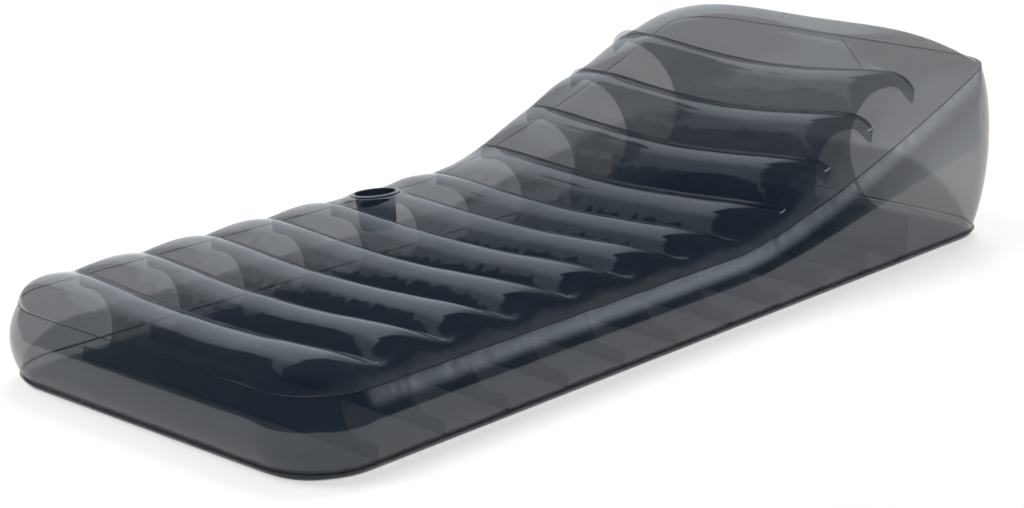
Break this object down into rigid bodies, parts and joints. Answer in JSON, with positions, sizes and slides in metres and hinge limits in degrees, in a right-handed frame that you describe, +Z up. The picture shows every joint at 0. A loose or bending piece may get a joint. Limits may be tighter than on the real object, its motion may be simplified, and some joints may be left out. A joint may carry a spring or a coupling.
{
  "type": "inflatable pool lounge mat",
  "caption": "Inflatable pool lounge of tinted clear film: channelled deck rising to a head rest, inner tension beams, side band, recessed cup pocket and pull-out air valve.",
  "frame": {"origin": "on the ground under the middle of the mat's outline", "axes": "+Y from the foot to the head, +Z up, +X to the side away from the cup pocket"},
  "size_m": [0.8076, 1.9104, 0.4064],
  "materials": {
    "tinted_film": "glossy tinted clear vinyl",
    "beam_film": "glossy tinted clear vinyl",
    "cup_film": "glossy tinted clear vinyl, moulded",
    "valve_plastic": "soft moulded tinted vinyl"
  },
  "bodies": {
    "mat": {"top_sheet": "tinted_film", "bottom_sheet": "tinted_film", "side_wall": "tinted_film", "i_beam_01": "beam_film", "i_beam_02": "beam_film", "i_beam_03": "beam_film", "i_beam_04": "beam_film", "i_beam_05": "beam_film", "i_beam_06": "beam_film", "i_beam_07": "beam_film", "i_beam_08": "beam_film", "i_beam_09": "beam_film", "i_beam_10": "beam_film", "i_beam_11": "beam_film", "cup_rim": "cup_film", "cup_wall": "cup_film", "cup_floor": "cup_film", "valve_flange": "valve_plastic"},
    "valve_stem": {"valve_stem": "valve_plastic", "valve_tether_lug": "valve_plastic"},
    "valve_plug": {"valve_plug": "valve_plastic", "valve_tether": "valve_plastic"},
    "check_flap": {"valve_check_flap": "valve_plastic"}
  },
  "joints": [
    {"name": "valve_pull", "type": "slide", "parent": "mat", "child": "valve_stem", "axis": [0, 0.9896, -0.1438], "range_m": [0, 0.01]},
    {"name": "plug_hinge", "type": "hinge", "parent": "valve_stem", "child": "valve_plug", "pos_m": [-0.2625, 0.95168, 0.09779], "axis": [0, 0.1438, 0.9896], "range_deg": [0, 150]},
    {"name": "flap_hinge", "type": "hinge", "parent": "valve_stem", "child": "check_flap", "pos_m": [-0.2428, 0.93258, 0.10056], "axis": [0, 0.1438, 0.9896], "range_deg": [0, 50], "stiffness_Nm_per_rad": 0.0002}
  ]
}
